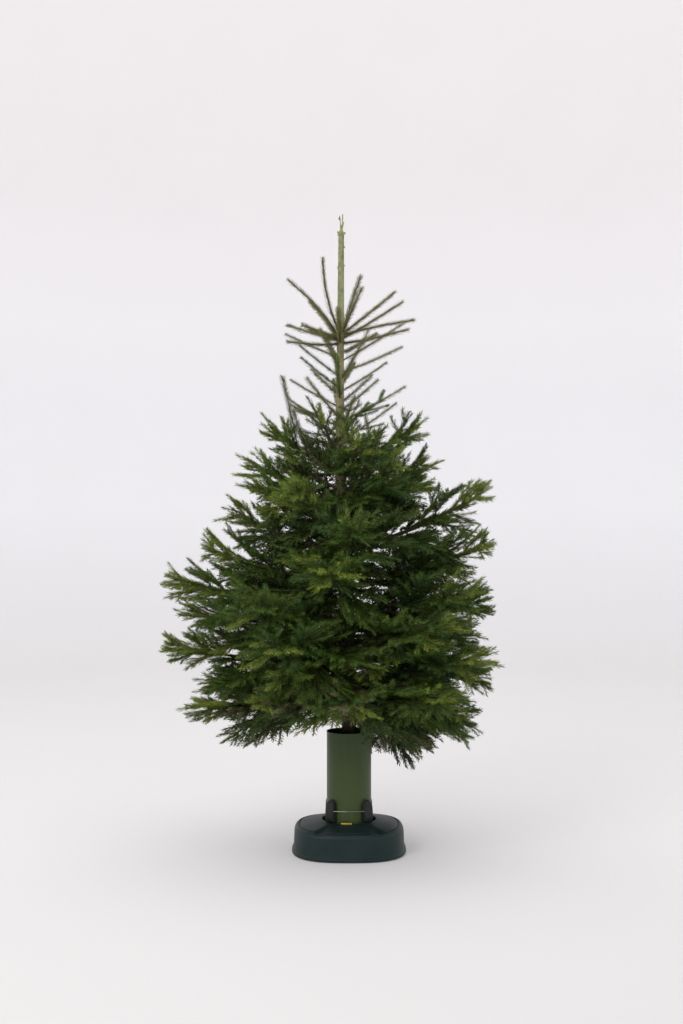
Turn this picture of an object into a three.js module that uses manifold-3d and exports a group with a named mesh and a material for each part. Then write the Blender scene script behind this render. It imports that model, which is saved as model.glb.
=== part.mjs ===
// A cut spruce in a raised water stand: trunk, boughs, foliage and stand pieces, in millimetres, +Z up.
import * as THREE from "three";
import { mergeVertices } from "three/addons/utils/BufferGeometryUtils.js";
import Module from "manifold-3d";

// Stand
const GAP = 0.3; // clearance between pieces that touch
const BASE_HALF = 194; // half width of the foot's lower lip
const BASE_WALL_HALF = 186; // half width of the foot above the lip
const BASE_EDGE = 95; // height of the foot's shoulder
const BASE_CROWN = 110; // height of the well's rim
const BASE_SQUARENESS = 2.7; // exponent of the foot's plan, between a circle and a square
const WELL_RADIUS = 90;
const WELL_FLOOR = 12;
const TUBE_RADIUS = 75.5;
const TUBE_WALL = 3;
const TUBE_TOP = 408;
const CLAW_COUNT = 4;
const CLAW_TURN = 225; // azimuth of the first claw
const CLAW_WIDTH = 34;
const CLAW_TOP = 185;
const CLAW_FOOT = 66;
const CABLE_RADIUS = 1.6;
const CABLE_CORNER = 91; // distance of the cable from the axis at a claw
const CABLE_NEAR = 79; // distance of the cable from the axis where it passes the tube
const CABLE_NEAR_TURN = 37; // turn from a claw at which the cable reaches the tube
const CABLE_HEIGHT = 147;
const PLATE_SIZE = [37, 9, 8];
const PLATE_CENTRE = [-9, -97, 110];

// Trunk: height and radius along it
const TRUNK_PROFILE = [
  [WELL_FLOOR + GAP, 30],
  [TUBE_TOP, 25.5],
  [860, 20.5],
  [1300, 16.5],
  [1690, 12.5],
  [1745, 12.5],
  [1900, 11.3],
  [2088, 9.5],
  [2101, 10.5],
  [2116, 3.5],
  [2166, 1.5],
];
const TREE_TOP = 2166;
const LEADER_FOOT = 1737; // height of the last whorl
const STRAIGHT_FROM = 1437; // height above which the trunk is upright
const LEAN = -31; // sideways drift of the trunk's middle
const LEAN_BACK = 6;
const LEADER_DRIFT = 5; // sideways drift of the leader back towards the axis

// Whorls of boughs from the lowest up. Slope and lift shape a bough's rise, tilt and fan that of its side
// sprays in degrees. Fall is the extra droop towards FALL_TOWARDS, side the share of reach lost to the right.
const TIERS = [
  ["skirt", 4, 545, 188, 505, -0.13, 0.02, 6, -18, 24, 0.1, 0.1],
  ["low", 5, 690, 178, 572, -0.14, 0.19, 6, -12, 33, 0.03, 0.09],
  ["middle", 5, 868, 186, 550, -0.01, 0.15, 6, -4, 34, 0, 0.06],
  ["high", 4, 1050, 170, 466, 0.2, 0.2, 5, -2, 34, -0.03, -0.09],
  ["upper", 4, 1205, 190, 345, 0.34, 0.18, 4, 0, 34, -0.03, 0.02],
  ["shoulder", 4, 1308, 172, 276, 0.46, 0.2, 4, 2, 30, 0, -0.07],
].map(([name, count, height, turn, reach, slope, lift, years, tilt, fan, fall, side]) => {
  return { name, count, height, turn, reach, slope, lift, years, tilt, fan, fall, side };
});
const FALL_TOWARDS = 45; // azimuth on which the lower whorls hang deepest
const FALL_TILT = 80; // degrees by which the sprays follow a bough's own fall
const STAGGER = 30; // height by which neighbouring boughs of a whorl differ from its middle
const BOUGH_ROOT = 8; // radius of a bough at the trunk
const BOUGH_TIERS = ["skirt", "low", "middle", "high"]; // whorls whose boughs are limbs of their own
const FIRST_SEED = 7001;
const SEED_STEP = 97;
const FAN_PATTERN = [1, -1, 0];
const SPRAY_THICK = 7;
const SPRAY_ROOT = 3.5; // half width of a spray at its root
const SPRAY_HALF = 12; // half width of a needled shoot
const STEM_HALF = 9; // half width of a mass's needled stem
const SPRAY_SINK = 3; // depth of a spray's root beyond the middle of its stem
const SECTOR_MARGIN = 9; // clear strip along the side of a mass's space
const SHORTEST = 42; // a shorter side spray is left out
const YEAR_LENGTH = 80;
const MOST_TEETH = 2; // teeth on each side of a solid spray

// Last whorl: azimuth, rise and length of each shoot
const HUB_SHOOTS = [
  [24, 38, 260],
  [59, 60, 270],
  [90, 30, 230],
  [12, 13, 265],
  [123, 15, 200],
  [127, 43, 240],
  [151, 13, 215],
  [200, 46, 270],
  [208, -1, 200],
  [223, 72, 268],
  [228, 10, 190],
  [268, 25, 220],
  [294, 39, 220],
  [340, 28, 250],
  [345, 10, 240],
];
const HUB_SECTORS = [
  ["crown_1", 350, 110],
  ["crown_2", 110, 214],
  ["crown_3", 214, 350],
];
const STEM_SEED = 90210;
const STEM_SHOOTS = 24;
const STEM_TOP = 1688; // height of the highest single shoot below the last whorl
const STEM_SPACING = 13;
const STEM_TURN = 57;
const GOLDEN = 137.508;
const STEM_RISE = 27;
const STEM_LENGTH = 222;
const STEM_SECTORS = [
  ["mantle_1", 350, 110],
  ["mantle_2", 110, 230],
  ["mantle_3", 230, 350],
];

const BARK = { color: 0x6b5a41, roughness: 0.9, metalness: 0 };
const NEEDLES = { color: 0x3c4628, roughness: 0.75, metalness: 0 };
const YOUNG_NEEDLES = { color: 0x5c6438, roughness: 0.75, metalness: 0 };
const FOOT_PLASTIC = { color: 0x2d3c3a, roughness: 0.5, metalness: 0 };
const TUBE_PAINT = { color: 0x3c4830, roughness: 0.4, metalness: 0.1 };
const CLAW_PLASTIC = { color: 0x161816, roughness: 0.5, metalness: 0 };
const STEEL = { color: 0x9a9c9c, roughness: 0.35, metalness: 1 };
const BRASS = { color: 0xb49a48, roughness: 0.35, metalness: 1 };

const WELD = 1e-3;
const UP = new THREE.Vector3(0, 0, 1);
const part = new THREE.Group();
const wasm = await Module();
wasm.setup();

class Dice {
  constructor(seed) {
    this.state = seed;
  }
  roll() {
    this.state = (this.state * 48271) % 2147483647;
    return this.state / 2147483647;
  }
  spread(amount) {
    return (2 * this.roll() - 1) * amount;
  }
}

function radians(degrees) {
  return (degrees * Math.PI) / 180;
}

function heading(azimuth, rise) {
  const flat = Math.cos(rise);
  return new THREE.Vector3(Math.cos(azimuth) * flat, Math.sin(azimuth) * flat, Math.sin(rise));
}

function solidOf(geometry) {
  geometry.deleteAttribute("normal");
  geometry.deleteAttribute("uv");
  const merged = mergeVertices(geometry, WELD);
  const corners = merged.index.array;
  const kept = [];
  for (let i = 0; i < corners.length; i += 3) {
    const [a, b, c] = [corners[i], corners[i + 1], corners[i + 2]];
    if (a !== b && b !== c && c !== a) kept.push(a, b, c);
  }
  const vertProperties = merged.attributes.position.array;
  return new wasm.Manifold(new wasm.Mesh({ numProp: 3, vertProperties, triVerts: new Uint32Array(kept) }));
}

function largestBody(solid) {
  return solid.decompose().reduce((best, body) => (body.volume() > best.volume() ? body : best));
}

function place(name, solid, look) {
  const mesh = solid.getMesh();
  const positions = new Float32Array(mesh.numVert * 3);
  for (let i = 0; i < mesh.numVert; i++) {
    positions.set(mesh.vertProperties.subarray(i * mesh.numProp, i * mesh.numProp + 3), i * 3);
  }
  const geometry = new THREE.BufferGeometry();
  geometry.setAttribute("position", new THREE.BufferAttribute(positions, 3));
  geometry.setIndex(new THREE.BufferAttribute(new Uint32Array(mesh.triVerts), 1));
  geometry.computeVertexNormals();
  const made = new THREE.Mesh(geometry, new THREE.MeshStandardMaterial(look));
  made.name = name;
  part.add(made);
}

// A round limb along a path, its ends cut square.
function limb(path, radius, sides, steps, reference) {
  const geometry = new THREE.CylinderGeometry(1, 1, 1, sides, steps, false, Math.PI / sides);
  const position = geometry.attributes.position;
  const small = 1e-3;
  for (let i = 0; i < position.count; i++) {
    const t = Math.min(1, Math.max(0, position.getY(i) + 0.5));
    const forward = path(Math.min(1, t + small)).sub(path(Math.max(0, t - small))).normalize();
    const side = new THREE.Vector3().crossVectors(reference, forward).normalize();
    const down = new THREE.Vector3().crossVectors(side, forward);
    const point = path(t)
      .addScaledVector(side, position.getX(i) * radius(t))
      .addScaledVector(down, position.getZ(i) * radius(t));
    position.setXYZ(i, point.x, point.y, point.z);
  }
  return solidOf(geometry);
}

// Trunk
function trunkAt(z) {
  const t = Math.min(1, Math.max(0, (z - TUBE_TOP) / (STRAIGHT_FROM - TUBE_TOP)));
  const drift = t * t * (3 - 2 * t);
  const back = (LEADER_DRIFT * Math.max(0, z - STRAIGHT_FROM)) / (TREE_TOP - STRAIGHT_FROM);
  return new THREE.Vector3(LEAN * drift + back, LEAN_BACK * drift, z);
}

function trunkRadius(z) {
  for (let i = 1; i < TRUNK_PROFILE.length; i++) {
    const [z0, r0] = TRUNK_PROFILE[i - 1];
    const [z1, r1] = TRUNK_PROFILE[i];
    if (z <= z1) return r0 + ((r1 - r0) * Math.max(0, z - z0)) / (z1 - z0);
  }
  return TRUNK_PROFILE[TRUNK_PROFILE.length - 1][1];
}

function trunkSolid(clearance) {
  const stations = [WELL_FLOOR + GAP, TUBE_TOP, 560, 700, 860, 1000, 1150, 1300, 1437];
  stations.push(1690, 1745, 1900, 2088, 2101, 2116, TREE_TOP);
  const last = stations.length - 1;
  const height = (t) => {
    const i = Math.min(last - 1, Math.floor(t * last + 1e-6));
    return stations[i] + (stations[i + 1] - stations[i]) * (t * last - i);
  };
  const path = (t) => trunkAt(height(t));
  const radius = (t) => trunkRadius(height(t)) + clearance;
  return limb(path, radius, 8, last, new THREE.Vector3(0, 1, 0));
}

// Whorls of boughs
function boughsOf(tier, index) {
  const dice = new Dice(FIRST_SEED + SEED_STEP * index);
  const made = [];
  for (let i = 0; i < tier.count; i++) {
    const azimuth = radians(tier.turn + (360 * i) / tier.count + dice.spread(9));
    const reach = tier.reach * (1 + dice.spread(0.06)) * (1 - tier.side * Math.cos(azimuth));
    const height = tier.height + STAGGER * (i % 2 ? 1 : -1) + dice.spread(10);
    const sway = dice.spread(0.12);
    const fall = tier.fall * Math.cos(azimuth - radians(FALL_TOWARDS));
    const seed = Math.floor(1000 + 5000 * dice.roll()) * 7 + 11;
    made.push({ tier, number: i + 1, azimuth, reach, height, sway, fall, seed });
  }
  for (let i = 0; i < tier.count; i++) {
    const next = i + 1 < tier.count ? made[i + 1].azimuth : made[0].azimuth + 2 * Math.PI;
    const last = i > 0 ? made[i - 1].azimuth : made[tier.count - 1].azimuth - 2 * Math.PI;
    made[i].limits = [(made[i].azimuth + last) / 2, (made[i].azimuth + next) / 2];
  }
  return made;
}

function boughPoint(bough, t) {
  const azimuth = bough.azimuth + bough.sway * t * t;
  const radius = 12 + (bough.reach - 12) * t;
  const rise = bough.reach * ((bough.tier.slope - bough.fall) * t + bough.tier.lift * t * t);
  const foot = trunkAt(bough.height);
  return new THREE.Vector3(
    foot.x + radius * Math.cos(azimuth),
    foot.y + radius * Math.sin(azimuth),
    bough.height + rise,
  );
}

function boughFrame(bough, t) {
  const forward = boughPoint(bough, t + 0.01).sub(boughPoint(bough, t - 0.01)).normalize();
  const side = new THREE.Vector3().crossVectors(UP, forward).normalize();
  return { forward, side, up: new THREE.Vector3().crossVectors(forward, side) };
}

function boughRadius(bough, t) {
  return BOUGH_ROOT * (1 - t) + 4.5 * t;
}

function boughEnd(bough) {
  return 1 / bough.tier.years - 0.015;
}

// Length that a shoot may have before it leaves the sector of its mass.
function roomFor(bough, point, direction, length) {
  const foot = trunkAt(bough.height);
  let room = length;
  for (const [i, limit] of bough.limits.entries()) {
    const sign = i ? 1 : -1;
    const inward = new THREE.Vector3(Math.sin(limit) * sign, -Math.cos(limit) * sign, 0);
    const clear = point.clone().sub(foot).dot(inward) - SECTOR_MARGIN;
    const rate = -direction.dot(inward);
    if (rate > 1e-6) room = Math.min(room, Math.max(0, clear) / rate);
  }
  return room;
}

function leaving(frame, sign, angle, tilt) {
  const flat = frame.forward.clone().multiplyScalar(Math.cos(angle));
  flat.addScaledVector(frame.side, sign * Math.sin(angle));
  return flat.multiplyScalar(Math.cos(tilt)).addScaledVector(frame.up, Math.sin(tilt)).normalize();
}

function frameAlong(direction, up) {
  const side = new THREE.Vector3().crossVectors(up, direction).normalize();
  return { forward: direction, side, up: new THREE.Vector3().crossVectors(direction, side) };
}

// Side sprays of a bough, a pair at each year's node and a shorter pair between nodes, too fine for a solid.
function spraysOf(bough) {
  const { tier } = bough;
  const dice = new Dice(bough.seed);
  const made = [];
  for (let i = 1; i < tier.years; i++) {
    for (const half of [0, 0.5]) {
      const t = (i + half) / tier.years;
      const frame = boughFrame(bough, t);
      for (const sign of [1, -1]) {
        const angle = radians(52 - 12 * t + dice.spread(7));
        const fan = FAN_PATTERN[(2 * i + (half > 0 ? 1 : 0) + (sign > 0 ? 1 : 0)) % 3];
        const tilt = radians(tier.tilt - FALL_TILT * bough.fall + tier.fan * fan + dice.spread(7));
        const full = (bough.reach * 0.6 * (1 - t) + 65) * (1 + dice.spread(0.12)) * (half ? 0.62 : 1);
        const seed = 1 + Math.floor(dice.roll() * 1e6);
        const start = boughPoint(bough, t);
        const direction = leaving(frame, sign, angle, tilt);
        const length = roomFor(bough, start, direction, full);
        const years = Math.max(1, Math.min(tier.years - i, Math.round(length / YEAR_LENGTH)));
        const along = frameAlong(direction, frame.up);
        made.push({ start, along, length, years, seed, half: half > 0 });
      }
    }
  }
  return made;
}

// Teeth of a spray: the side shoots at its years' nodes.
function teethOf(bough, spray) {
  const dice = new Dice(spray.seed);
  const made = [];
  for (let k = 1; k < spray.years; k++) {
    for (const sign of [1, -1]) {
      const angle = radians(48 + dice.spread(8));
      const full = Math.max(45, spray.length * (1 - k / spray.years) * (0.62 + dice.spread(0.1)));
      const root = spray.start.clone().addScaledVector(spray.along.forward, (spray.length * k) / spray.years);
      const direction = leaving(spray.along, sign, angle, 0);
      made.push({ k, sign, angle, length: roomFor(bough, root, direction, full) });
    }
  }
  return made;
}

function bladeOf(spray, teeth) {
  const edges = [1, -1].map((sign) => {
    const points = [[-SPRAY_SINK, sign * SPRAY_ROOT]];
    for (const tooth of teeth.filter((each) => each.sign === sign && each.k <= MOST_TEETH)) {
      const foot = (spray.length * tooth.k) / spray.years;
      const out = Math.max(SPRAY_HALF, tooth.length * Math.sin(tooth.angle));
      points.push([foot + tooth.length * Math.cos(tooth.angle), sign * out]);
      points.push([foot + (spray.length / spray.years) * 0.9, sign * SPRAY_HALF]);
    }
    if (points.length === 1) points.push([spray.length * 0.5, sign * SPRAY_HALF]);
    return points;
  });
  const outline = [...edges[1], [spray.length, 0], ...edges[0].reverse()];
  const shape = new THREE.Shape(outline.map(([x, y]) => new THREE.Vector2(x, y)));
  const geometry = new THREE.ExtrudeGeometry(shape, { depth: SPRAY_THICK, bevelEnabled: false });
  geometry.translate(0, 0, -SPRAY_THICK / 2);
  const { forward, side, up } = spray.along;
  geometry.applyMatrix4(new THREE.Matrix4().makeBasis(forward, side, up).setPosition(spray.start));
  return solidOf(geometry);
}

// Stand
function squareness(angle) {
  const power = BASE_SQUARENESS;
  return (Math.abs(Math.cos(angle)) ** power + Math.abs(Math.sin(angle)) ** power) ** (-1 / power);
}

function baseSolid(raise) {
  const profile = [
    [0, 0],
    [BASE_HALF - 5, 0],
    [BASE_HALF, 5],
    [BASE_HALF, 13],
    [BASE_WALL_HALF + 2, 18],
    [BASE_WALL_HALF - 1, BASE_EDGE - 14],
    [BASE_WALL_HALF - 8, BASE_EDGE - 4],
    [BASE_WALL_HALF - 24, BASE_EDGE],
    [WELL_RADIUS + 14, BASE_CROWN - 1],
    [WELL_RADIUS + 5, BASE_CROWN + 1],
    [WELL_RADIUS, BASE_CROWN],
    [WELL_RADIUS, WELL_FLOOR],
    [0, WELL_FLOOR],
  ];
  const geometry = new THREE.LatheGeometry(profile.map(([r, z]) => new THREE.Vector2(r, z)), 24);
  const position = geometry.attributes.position;
  for (let i = 0; i < position.count; i++) {
    const [x, z, y] = [position.getX(i), position.getY(i), -position.getZ(i)];
    const radius = Math.hypot(x, y);
    const blend = Math.min(1, Math.max(0, (radius - WELL_RADIUS - 14) / 50));
    const factor = 1 + (squareness(Math.atan2(y, x)) - 1) * blend;
    position.setXYZ(i, x * factor, y * factor, z + raise);
  }
  return solidOf(geometry);
}

function ring(outer, inner, bottom, top, sides) {
  const shape = new THREE.Shape();
  const hole = new THREE.Path();
  for (let i = 0; i < sides; i++) {
    const angle = (2 * Math.PI * i) / sides;
    const [x, y] = [Math.cos(angle), Math.sin(angle)];
    if (i === 0) {
      shape.moveTo(outer * x, outer * y);
      hole.moveTo(inner * x, inner * y);
    } else {
      shape.lineTo(outer * x, outer * y);
      hole.lineTo(inner * x, inner * y);
    }
  }
  shape.holes.push(hole);
  const geometry = new THREE.ExtrudeGeometry(shape, { depth: top - bottom, bevelEnabled: false });
  geometry.translate(0, 0, bottom);
  return solidOf(geometry);
}

function clawSolid(azimuth) {
  const profile = [
    [76.4, CLAW_FOOT],
    [87.2, CLAW_FOOT],
    [87.2, BASE_CROWN + 1 + GAP],
    [95, BASE_CROWN + 1 + GAP],
    [97, BASE_CROWN + 16],
    [95, CABLE_HEIGHT + 14],
    [84, CLAW_TOP],
    [76.2, CLAW_TOP],
    [76.2, CABLE_HEIGHT + 12],
    [81, CABLE_HEIGHT - 4],
    [81, BASE_CROWN + 4],
  ];
  const shape = new THREE.Shape(profile.map(([r, z]) => new THREE.Vector2(r, z)));
  const geometry = new THREE.ExtrudeGeometry(shape, { depth: CLAW_WIDTH, bevelEnabled: false });
  geometry.translate(0, 0, -CLAW_WIDTH / 2);
  geometry.rotateX(Math.PI / 2);
  geometry.rotateZ(azimuth);
  return solidOf(geometry);
}

function cableSolid(radius) {
  const corners = [];
  for (let i = 0; i < CLAW_COUNT; i++) {
    for (const offset of [-CABLE_NEAR_TURN, -7, 0, 7, CABLE_NEAR_TURN]) {
      const angle = radians(CLAW_TURN + (360 * i) / CLAW_COUNT + offset);
      const atClaw = offset ? CABLE_CORNER - 0.8 : CABLE_CORNER;
      const reach = Math.abs(offset) === CABLE_NEAR_TURN ? CABLE_NEAR : atClaw;
      corners.push(new THREE.Vector3(reach * Math.cos(angle), reach * Math.sin(angle), CABLE_HEIGHT));
    }
  }
  const geometry = new THREE.TorusGeometry(1, 0.1, 6, corners.length);
  const position = geometry.attributes.position;
  const count = corners.length;
  for (let i = 0; i < position.count; i++) {
    const column = i % (count + 1);
    const turn = (2 * Math.PI * Math.floor(i / (count + 1))) / 6;
    const corner = corners[column % count];
    const outward = corner.clone().setZ(0).normalize();
    const point = corner.clone().addScaledVector(outward, radius * Math.cos(turn));
    position.setXYZ(i, point.x, point.y, point.z + radius * Math.sin(turn));
  }
  return solidOf(geometry);
}

const trunk = trunkSolid(0);
const trunkClear = trunkSolid(GAP);
place("trunk", trunk, BARK);

const base = baseSolid(0);
place("base", base, FOOT_PLASTIC);
const tube = ring(TUBE_RADIUS, TUBE_RADIUS - TUBE_WALL, WELL_FLOOR + GAP, TUBE_TOP, 24);
place("tube", tube, TUBE_PAINT);
const cableClear = cableSolid(CABLE_RADIUS + GAP + 0.05);
place("cable", cableSolid(CABLE_RADIUS), STEEL);
const stand = [base, tube];
for (let i = 0; i < CLAW_COUNT; i++) {
  const claw = clawSolid(radians(CLAW_TURN + (360 * i) / CLAW_COUNT)).subtract(cableClear);
  place(`claw_${i + 1}`, largestBody(claw), CLAW_PLASTIC);
}
const plateBlock = new THREE.BoxGeometry(...PLATE_SIZE).translate(...PLATE_CENTRE);
place("latch_plate", largestBody(solidOf(plateBlock).subtract(baseSolid(GAP))), BRASS);

// Limbs and stems of the whorls
const boughs = TIERS.flatMap((tier, index) => boughsOf(tier, index));
for (const bough of boughs) {
  const limbTier = BOUGH_TIERS.includes(bough.tier.name);
  const end = limbTier ? boughEnd(bough) : 0;
  if (limbTier) {
    const path = (t) => boughPoint(bough, t * end);
    bough.limb = limb(path, (t) => boughRadius(bough, t * end), 6, 2, UP).subtract(trunkClear);
    bough.limb = largestBody(bough.limb);
    place(`${bough.tier.name}_bough_${bough.number}`, bough.limb, BARK);
  }
  const pace = boughPoint(bough, end).distanceTo(boughPoint(bough, end + 1e-3)) / 1e-3;
  const start = limbTier ? end + GAP / pace : 0;
  const path = (t) => boughPoint(bough, start + (1 - start) * t);
  const radius = (t) => STEM_HALF * (1.15 - 0.4 * t);
  bough.stem = limb(path, radius, 4, bough.tier.years - (limbTier ? 1 : 0), UP).subtract(trunkClear);
  bough.stem = largestBody(bough.stem);
}

function boxesApart(a, b) {
  const [p, q] = [a.boundingBox(), b.boundingBox()];
  return [0, 1, 2].some((i) => p.min[i] > q.max[i] + 1 || q.min[i] > p.max[i] + 1);
}

function touches(solid, others) {
  return others.some((other) => !boxesApart(solid, other) && solid.minGap(other, 1) < 2 * GAP);
}

// Foliage masses on the boughs
const grown = [];
for (const bough of boughs) {
  const limbs = boughs.filter((each) => each.limb).map((each) => each.limb);
  const others = boughs.filter((each) => each !== bough && !grown.includes(each)).map((each) => each.stem);
  const masses = grown.map((each) => each.mass);
  const blades = [];
  for (const spray of spraysOf(bough)) {
    if (spray.length < SHORTEST) continue;
    if (spray.half) continue;
    const blade = bladeOf(spray, teethOf(bough, spray));
    if (touches(blade, [trunkClear, ...stand, ...limbs, ...others, ...masses])) continue;
    blades.push(blade);
  }
  bough.mass = largestBody(blades.reduce((mass, blade) => mass.add(blade), bough.stem));
  grown.push(bough);
  place(`${bough.tier.name}_foliage_${bough.number}`, bough.mass, NEEDLES);
}

// Shoots that stand straight on the trunk: the last whorl and the mantle below it
function within(azimuth, low, high) {
  const turned = ((azimuth % 360) + 360) % 360;
  return low < high ? turned >= low && turned < high : turned >= low || turned < high;
}

function crownShoots() {
  return HUB_SHOOTS.map(([azimuth, rise, length], i) => ({
    azimuth,
    rise,
    length,
    height: LEADER_FOOT + 14 - 14 * (i % 3),
  }));
}

function mantleShoots() {
  const dice = new Dice(STEM_SEED);
  const made = [];
  for (let i = 0; i < STEM_SHOOTS; i++) {
    const rise = STEM_RISE + dice.spread(9);
    const length = STEM_LENGTH + dice.spread(45);
    made.push({ azimuth: STEM_TURN + GOLDEN * i, rise, length, height: STEM_TOP - STEM_SPACING * i });
  }
  return made;
}

function trunkMass(name, low, high, shoots) {
  const mine = shoots.filter((shoot) => within(shoot.azimuth, low, high));
  const middle = radians(low < high ? (low + high) / 2 : (low + high + 360) / 2);
  const heights = mine.map((shoot) => shoot.height);
  const [bottom, top] = [Math.min(...heights) - 12, Math.max(...heights) + 12];
  const padAt = (z) => trunkAt(z).addScaledVector(heading(middle, 0), trunkRadius(z) + 1.5);
  const pad = limb((t) => padAt(bottom + (top - bottom) * t), () => 8, 5, 1, heading(middle, 0));
  let mass = pad;
  for (const shoot of mine) {
    const direction = heading(radians(shoot.azimuth), radians(shoot.rise));
    const along = frameAlong(direction, UP);
    const spray = { start: padAt(shoot.height), along, length: shoot.length, years: 1 };
    const blade = bladeOf(spray, []);
    if (touches(blade, grown.map((each) => each.mass))) continue;
    mass = mass.add(blade);
  }
  mass = largestBody(mass.subtract(trunkClear));
  grown.push({ mass });
  place(name, mass, YOUNG_NEEDLES);
}

for (const [name, low, high] of HUB_SECTORS) trunkMass(name, low, high, crownShoots());
for (const [name, low, high] of STEM_SECTORS) trunkMass(name, low, high, mantleShoots());

export default part;
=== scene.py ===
import math

import bpy
import numpy as np
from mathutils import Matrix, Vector, noise


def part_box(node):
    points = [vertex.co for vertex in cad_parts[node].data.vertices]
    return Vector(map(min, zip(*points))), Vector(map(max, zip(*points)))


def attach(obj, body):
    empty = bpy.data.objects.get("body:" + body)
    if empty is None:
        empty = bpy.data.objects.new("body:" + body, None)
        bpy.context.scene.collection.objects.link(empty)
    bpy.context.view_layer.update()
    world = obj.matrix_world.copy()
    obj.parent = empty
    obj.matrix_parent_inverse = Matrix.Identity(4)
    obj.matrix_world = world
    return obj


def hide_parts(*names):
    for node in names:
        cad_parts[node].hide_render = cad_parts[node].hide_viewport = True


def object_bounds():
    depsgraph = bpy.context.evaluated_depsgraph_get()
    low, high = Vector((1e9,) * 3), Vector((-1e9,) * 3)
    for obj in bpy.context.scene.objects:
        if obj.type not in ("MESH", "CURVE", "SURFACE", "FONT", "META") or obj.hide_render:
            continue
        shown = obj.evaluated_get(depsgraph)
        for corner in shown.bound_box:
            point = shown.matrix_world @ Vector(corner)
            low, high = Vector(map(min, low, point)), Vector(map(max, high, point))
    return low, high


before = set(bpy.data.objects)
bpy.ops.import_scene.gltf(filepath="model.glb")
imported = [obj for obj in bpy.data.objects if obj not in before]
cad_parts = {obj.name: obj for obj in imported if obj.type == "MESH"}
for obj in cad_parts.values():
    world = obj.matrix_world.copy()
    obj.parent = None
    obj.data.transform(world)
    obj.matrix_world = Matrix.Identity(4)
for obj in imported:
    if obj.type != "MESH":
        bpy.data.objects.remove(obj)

# A cut spruce in a raised water stand. The growth rule is in millimetres, the meshes are in metres.
MM = 0.001
cad_low, cad_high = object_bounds()
BOX_SPARE = 14.0  # room for needles past the solids' box
BOX = (np.array(cad_low) / MM - BOX_SPARE, np.array(cad_high) / MM + BOX_SPARE)
SEED = 20261
random = np.random.RandomState(SEED)
UP = np.array([0.0, 0.0, 1.0])
FRONT = np.array([0.0, -1.0, 0.0])
BACK = np.array([0.0, 1.0, 0.0])


def placed(name, data):
    made = bpy.data.objects.new(name, data)
    bpy.context.scene.collection.objects.link(made)
    return made


# ---- camera
CAMERA_AT = (-0.0255, -5.0, 1.151)  # metres; the camera is level
CAMERA_SENSOR = 36
CAMERA_LENS = 51.68
camera = placed("camera", bpy.data.cameras.new("camera"))
camera.location = CAMERA_AT
camera.rotation_euler = (math.radians(90), 0, 0)
camera.data.sensor_width = CAMERA_SENSOR
camera.data.lens = CAMERA_LENS
bpy.context.scene.camera = camera


# ---- meshes
def mesh_object(name, vertices, faces, smooth=True):
    """vertices in millimetres, faces as an (n, 3) array or a list of tuples"""
    mesh = bpy.data.meshes.new(name)
    vertices = np.asarray(vertices, np.float64).reshape(-1, 3) * MM
    if isinstance(faces, np.ndarray):
        mesh.vertices.add(len(vertices))
        mesh.vertices.foreach_set("co", vertices.astype(np.float32).ravel())
        mesh.loops.add(faces.size)
        mesh.loops.foreach_set("vertex_index", faces.astype(np.int32).ravel())
        mesh.polygons.add(len(faces))
        mesh.polygons.foreach_set("loop_start", np.arange(0, faces.size, 3, dtype=np.int32))
        mesh.update(calc_edges=True)
    else:
        mesh.from_pydata([tuple(v) for v in vertices], [], faces)
    mesh.polygons.foreach_set("use_smooth", np.full(len(mesh.polygons), smooth))
    mesh.update()
    return placed(name, mesh)


def finished(piece, look, nodes=()):
    piece.data.materials.append(look)
    if nodes:
        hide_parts(*nodes)
    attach(piece, "root")


def ring_angles(sides):
    return [2 * math.pi * j / sides for j in range(sides)]


def strip(rings, sides):
    """quads between closed rings of the same number of points"""
    faces = []
    for i in range(rings - 1):
        for j in range(sides):
            k = (j + 1) % sides
            faces.append((i * sides + j, i * sides + k, (i + 1) * sides + k, (i + 1) * sides + j))
    return faces


def capped_strip(rings, sides):
    """the same, with one face over each end"""
    ends = [tuple(reversed(range(sides))), tuple(range((rings - 1) * sides, rings * sides))]
    return strip(rings, sides) + ends


def fanned_strip(rings, sides):
    """the same, with a fan over each end round two middle points that follow the rings"""
    faces = strip(rings, sides)
    middle = rings * sides
    for j in range(sides):
        k = (j + 1) % sides
        faces.append((middle, k, j))
        faces.append((middle + 1, (rings - 1) * sides + j, (rings - 1) * sides + k))
    return faces


def gathered(parts):
    """several lists of vertices and faces as one"""
    vertices, faces = [], []
    for more_vertices, more_faces in parts:
        faces += [tuple(v + len(vertices) for v in face) for face in more_faces]
        vertices += more_vertices
    return vertices, faces


def nodes_named(*starts):
    return [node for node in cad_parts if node.startswith(starts)]


# ---- materials
def material(name):
    made = bpy.data.materials.new(name)
    made.use_nodes = True
    return made, made.node_tree, made.node_tree.nodes["Principled BSDF"]


def feed(tree, socket, value):
    """give an input its value, or link it where the value is another node's output"""
    if isinstance(value, bpy.types.NodeSocket):
        tree.links.new(value, socket)
    else:
        socket.default_value = value


def node_with(tree, kind, **inputs):
    node = tree.nodes.new("ShaderNode" + kind)
    for name, value in inputs.items():
        feed(tree, node.inputs[name.replace("_", " ")], value)
    return node


def position(tree, scale=(1, 1, 1)):
    coordinates = node_with(tree, "TexCoord")
    return node_with(tree, "Mapping", Scale=scale, Vector=coordinates.outputs["Object"]).outputs["Vector"]


def part_of(tree, vector, axis):
    return node_with(tree, "SeparateXYZ", Vector=vector).outputs[axis]


def noise_of(tree, vector, scale, detail, rough):
    return node_with(tree, "TexNoise", Scale=scale, Detail=detail, Roughness=rough, Vector=vector).outputs["Fac"]


def cells_of(tree, vector, scale, feature="F1"):
    node = node_with(tree, "TexVoronoi", Scale=scale, Vector=vector)
    node.feature = feature
    return node.outputs["Distance"]


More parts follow.
